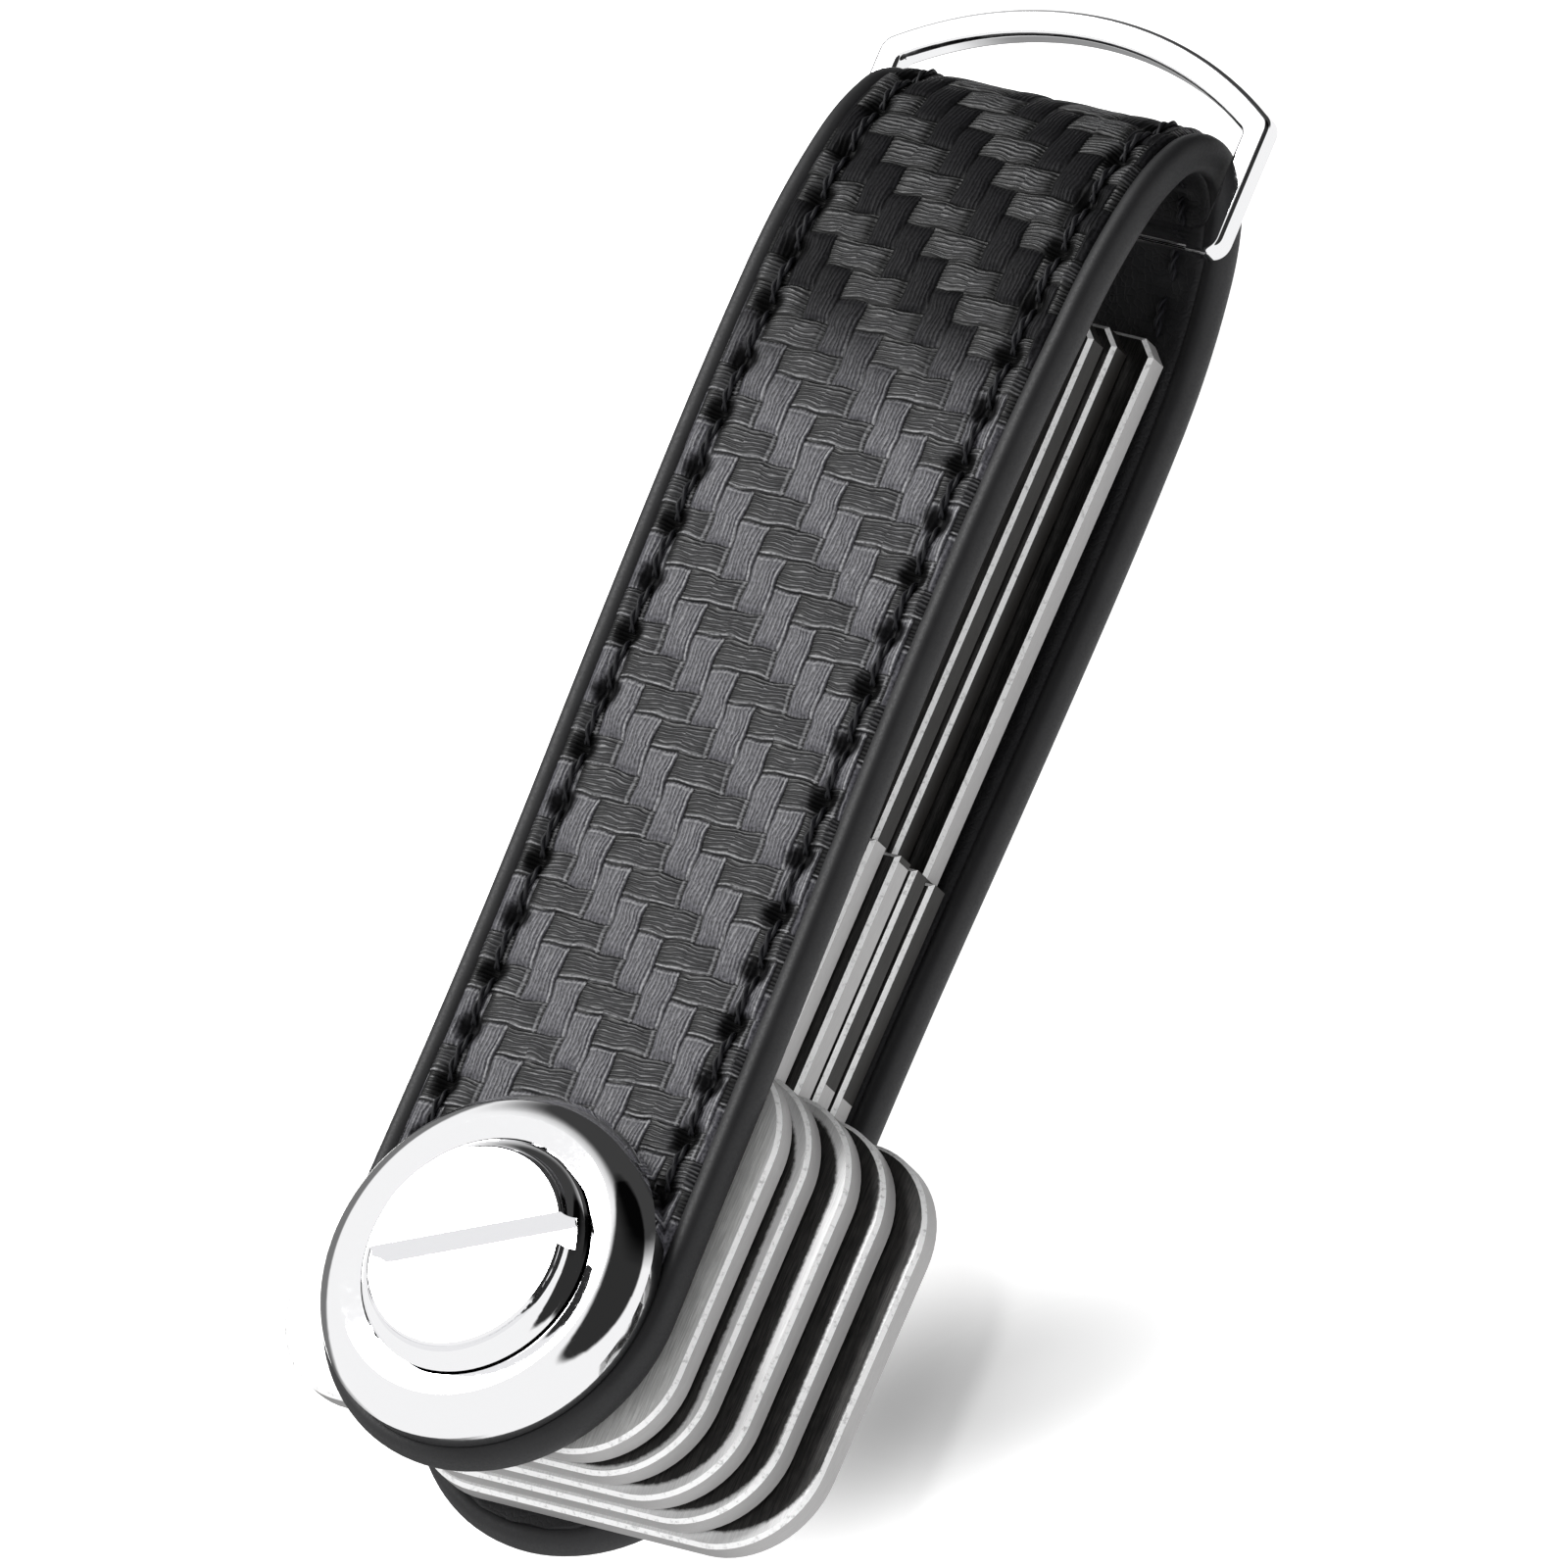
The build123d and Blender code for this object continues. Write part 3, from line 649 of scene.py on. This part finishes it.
def key_steel(name, face_pale, face_dark, face_metal, side_shade_span, bow, highlight_rim):
    """Key blank: bright blanked sides with a painted highlight on their corner, and flat faces with lengthwise
    brushing. The sides are painted dark between two distances from the screw, as painted shade. bow holds the right
    and left sides of the bow, and the last argument the width of the painted highlight along the rim of its face."""
    look = Shader(name)
    place = look.object_mm()
    up = look.math("ABSOLUTE", look.split(look.node("TexCoord").outputs["Normal"])[2])
    face = look.remap(up, 0.85, 0.97)
    corner = look.math("MULTIPLY", look.remap(up, 0.3, 0.55), look.math("SUBTRACT", 1.0, face))
    brushed = look.noise(look.stretched(place, 9.0, 0.35, 2.0), 1.6, 3.0, 0.65)
    patchy = look.noise(place, 0.7, 4.0, 0.6)
    highlight_patches = look.noise(place, 2.6, 4.0, 0.7)
    sides = look.noise(look.stretched(place, 0.6, 0.6, 7.0), 2.2, 3.0, 0.6)
    side_colour = look.mix(sides, (0.31, 0.305, 0.305, 1), (0.4, 0.395, 0.395, 1))
    along = look.split(place)[1]
    # Painted shade: the sides are painted near black between the two distances
    side_shade = look.math("MULTIPLY", look.math("GREATER_THAN", along, side_shade_span[0]),
                          look.math("LESS_THAN", along, side_shade_span[1]))
    side_colour = look.mix(side_shade, side_colour, (0.012, 0.011, 0.01, 1))
    # Painted highlight, patchy, on the chamfered corner between each side and face
    corner_highlight_colour = look.mix(look.remap(highlight_patches, 0.3, 0.5), (0.6, 0.6, 0.6, 1), STEEL_HIGHLIGHT)
    face_mix = look.math("MULTIPLY", look.remap(brushed, 0.3, 0.7), look.remap(patchy, 0.3, 0.7, 0.5, 1.0))
    face_colour = look.mix(face_mix, (*face_dark, 1), (*face_pale, 1))
    # Painted highlight along the rim of the bow's face, with a patchy inner edge
    half = ((bow[0] - bow[1]) / 2 - BOW_CORNER, BOW_LENGTH / 2 - BOW_CORNER)
    middle = ((bow[0] + bow[1]) / 2, BOW_BOTTOM + BOW_LENGTH / 2)
    off_middle = [look.math("SUBTRACT", look.split(place)[axis], middle[axis]) for axis in (0, 1)]
    out_x, out_y = (look.math("SUBTRACT", look.math("ABSOLUTE", off_middle[axis]), half[axis]) for axis in (0, 1))
    round_x, round_y = look.math("MAXIMUM", out_x, 0.0), look.math("MAXIMUM", out_y, 0.0)
    reach = look.distance(round_x, round_y)
    reach = look.math("MULTIPLY_ADD", highlight_patches, 0.3, reach)
    on_bow = look.math("LESS_THAN", along, BOW_BOTTOM + BOW_LENGTH)
    rim_start = BOW_CORNER - highlight_rim
    bow_rim_highlight = look.math("MULTIPLY", look.remap(reach, rim_start - 0.05, rim_start + 0.25), on_bow)
    face_colour = look.mix(bow_rim_highlight, face_colour, look.mix(brushed, (0.45, 0.45, 0.45, 1), STEEL_HIGHLIGHT))
    look.set("Base Color", look.mix(face, look.mix(corner, side_colour, corner_highlight_colour), face_colour))
    look.set("Metallic", look.math("MULTIPLY_ADD", face, face_metal - SIDE_METAL, SIDE_METAL))
    look.set("Roughness", look.math("MULTIPLY_ADD", brushed, 0.25, 0.3))
    height = look.math("ADD", look.math("MULTIPLY", brushed, face), look.math("MULTIPLY", sides, 0.6))
    look.set("Normal", look.bump(height, 0.3, 0.03))
    return look.material


def satin_nylon():
    """Moulded black nylon with a satin surface."""
    look = Shader("satin_nylon", Specular_IOR_Level=0.4)
    grain = look.noise(look.object_mm(), 4.0, 3.0)
    look.set("Base Color", look.mix(grain, (0.02, 0.02, 0.02, 1), (0.04, 0.04, 0.04, 1)))
    look.set("Roughness", look.remap(grain, 0.3, 0.7, 0.4, 0.55))
    return look.material


def give(thing, material):
    """Puts one material in all of the thing's slots."""
    thing.data.materials.clear()
    thing.data.materials.append(material)
    return thing


# ---------------------------------------------------------------- pieces

def dress_band():
    """The band's finer pieces, each in place of its CAD node."""
    leather, edge, thread = woven_leather(), painted_edge(), black_thread()
    pieces = [(make_skin(), leather, "band_outer_skin", "embossed_leather"),
              (make_edge(), edge, "band_core", "core_board"),
              (make_lining(), lining_leather(), "band_lining", "lining_leather"),
              (make_stitches("stitch_row_left", -STITCH_X), thread, "stitching_left", "thread"),
              (make_stitches("stitch_row_right", STITCH_X), thread, "stitching_right", "thread")]
    for piece, material, node, slot in pieces:
        give(piece, material)
        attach(piece, "band")
        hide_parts(node)


def dress_metal():
    """Materials for the CAD nodes that stay."""
    bright = chrome()
    nickel = brushed_metal("nickel_plate", NICKEL_PALE, NICKEL_DARK, 0.3)
    steels = {}
    for name, (side_shade_span, bow, highlight_rim) in KEYS.items():
        # faces of keys 2 to 5 painted near black as painted shade
        face = (SHADED_KEY_PALE, SHADED_KEY_DARK, SHADED_KEY_METAL)
        if name == "key_1":
            face = (FRONT_KEY_PALE, FRONT_KEY_DARK, FRONT_KEY_METAL)
        steels[name] = key_steel("key_steel_" + name[-1], *face, side_shade_span, bow, highlight_rim)
    for name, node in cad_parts.items():
        if name in ("front_cap", "rear_cap", "clamp_screw", "threaded_post", "d_ring"):
            give(node, bright)
        elif name.startswith("key_"):
            give(node, steels[name])
        elif name == "screw_washer":
            give(node, satin_nylon())
        elif name.startswith("spacer_") or name.endswith("_eyelet"):
            give(node, nickel)


# ---------------------------------------------------------------- stage

def make_floor():
    """White sweep that glows, so it hardly takes shadow. The soft shadow beside the keys' bows is painted on it
    at a fixed place, and doesn't follow the moving parts."""
    corners = [(x * FLOOR_REACH, y * FLOOR_REACH, 0) for x, y in ((-1, -1), (1, -1), (1, 1), (-1, 1))]
    floor = mesh_object("floor", corners, [(0, 1, 2, 3)])
    look = Shader("floor_white", Base_Color=(0.7, 0.7, 0.7, 1), Roughness=1.0, Specular_IOR_Level=0.0,
                  Emission_Color=(1, 1, 1, 1))
    middle = {"Vector": look.object_mm(), "Center": (*SHADE_PLACE, 0), "Angle": -radians(SHADE_TURN)}
    x, y, _ = look.split(look.node("VectorRotate", middle, rotation_type="Z_AXIS").outputs[0])
    aside = look.math("MULTIPLY", look.math("SUBTRACT", x, SHADE_PLACE[0]), 1 / SHADE_SIZE[0])
    along = look.math("MULTIPLY", look.math("SUBTRACT", y, SHADE_PLACE[1]), 1 / SHADE_SIZE[1])
    reach = look.distance(aside, along)
    look.set("Emission Strength", look.remap(reach, 0.1, 1.0, SHADE_DEPTH, 1.0))
    give(floor, look.material)
    floor.visible_glossy = False
    floor.visible_diffuse = False


def make_camera():
    """The photo's viewpoint, through a long lens that leaves almost no perspective."""
    back = VIEW_BACK
    right = VIEW_UP.cross(back).normalized()
    up = back.cross(right)
    screw = Vector((0, 0, FRONT_FACE_Z))
    target = (screw + right * TARGET_RIGHT + up * TARGET_UP) * MM
    data = bpy.data.cameras.new("camera")
    data.lens, data.sensor_width = LENS, SENSOR
    data.clip_start = CLIP_START
    camera = bpy.data.objects.new("camera", data)
    distance = FRAME_WIDTH * MM * LENS / SENSOR
    turn = Matrix((right, up, back)).transposed().to_4x4()
    camera.matrix_world = Matrix.Translation(target + back * distance) @ turn
    bpy.context.scene.collection.objects.link(camera)
    bpy.context.scene.camera = camera


def area_light(name, place, aim, size, power, seen_in_gloss):
    """A round lamp at place that shines towards aim."""
    data = bpy.data.lights.new(name, "AREA")
    data.shape, data.size, data.energy = "DISK", size, power
    lamp = bpy.data.objects.new(name, data)
    lamp.location = place
    lamp.rotation_mode = "QUATERNION"
    lamp.rotation_quaternion = (Vector(place) - Vector(aim)).to_track_quat("Z", "Y")
    lamp.visible_glossy = seen_in_gloss
    bpy.context.scene.collection.objects.link(lamp)


def make_light():
    """A white studio with a few dark sides for the chrome to show, a soft key from the left and a weak fill."""
    world = bpy.data.worlds.new("studio")
    bpy.context.scene.world = world
    world.use_nodes = True
    tree = world.node_tree
    tree.nodes.clear()
    place = tree.nodes.new("ShaderNodeTexCoord").outputs["Generated"]
    brightness = None
    for toward, start, end, least in DARK_SIDES:
        dot = tree.nodes.new("ShaderNodeVectorMath")
        dot.operation = "DOT_PRODUCT"
        dot.inputs[1].default_value = Vector(toward).normalized()
        tree.links.new(place, dot.inputs[0])
        fall = tree.nodes.new("ShaderNodeMapRange")
        fall.interpolation_type = "SMOOTHSTEP"
        for index, value in {1: start, 2: end, 3: 1.0, 4: least}.items():
            fall.inputs[index].default_value = value
        tree.links.new(dot.outputs["Value"], fall.inputs[0])
        if brightness is None:
            brightness = fall.outputs[0]
        else:
            both = tree.nodes.new("ShaderNodeMath")
            both.operation = "MULTIPLY"
            tree.links.new(brightness, both.inputs[0])
            tree.links.new(fall.outputs[0], both.inputs[1])
            brightness = both.outputs[0]
    backdrop = tree.nodes.new("ShaderNodeMath")                # behind the object the studio is plain white
    backdrop.operation = "MAXIMUM"
    tree.links.new(brightness, backdrop.inputs[0])
    tree.links.new(tree.nodes.new("ShaderNodeLightPath").outputs["Is Camera Ray"], backdrop.inputs[1])
    background = tree.nodes.new("ShaderNodeBackground")
    output = tree.nodes.new("ShaderNodeOutputWorld")
    background.inputs["Color"].default_value = (1, 1, 1, 1)
    tree.links.new(backdrop.outputs[0], background.inputs["Strength"])
    tree.links.new(background.outputs[0], output.inputs["Surface"])
    for lamp in LAMPS:
        area_light(*lamp)


bpy.context.scene.view_settings.view_transform = "Standard"
dress_band()
dress_metal()
make_floor()
make_camera()
make_light()
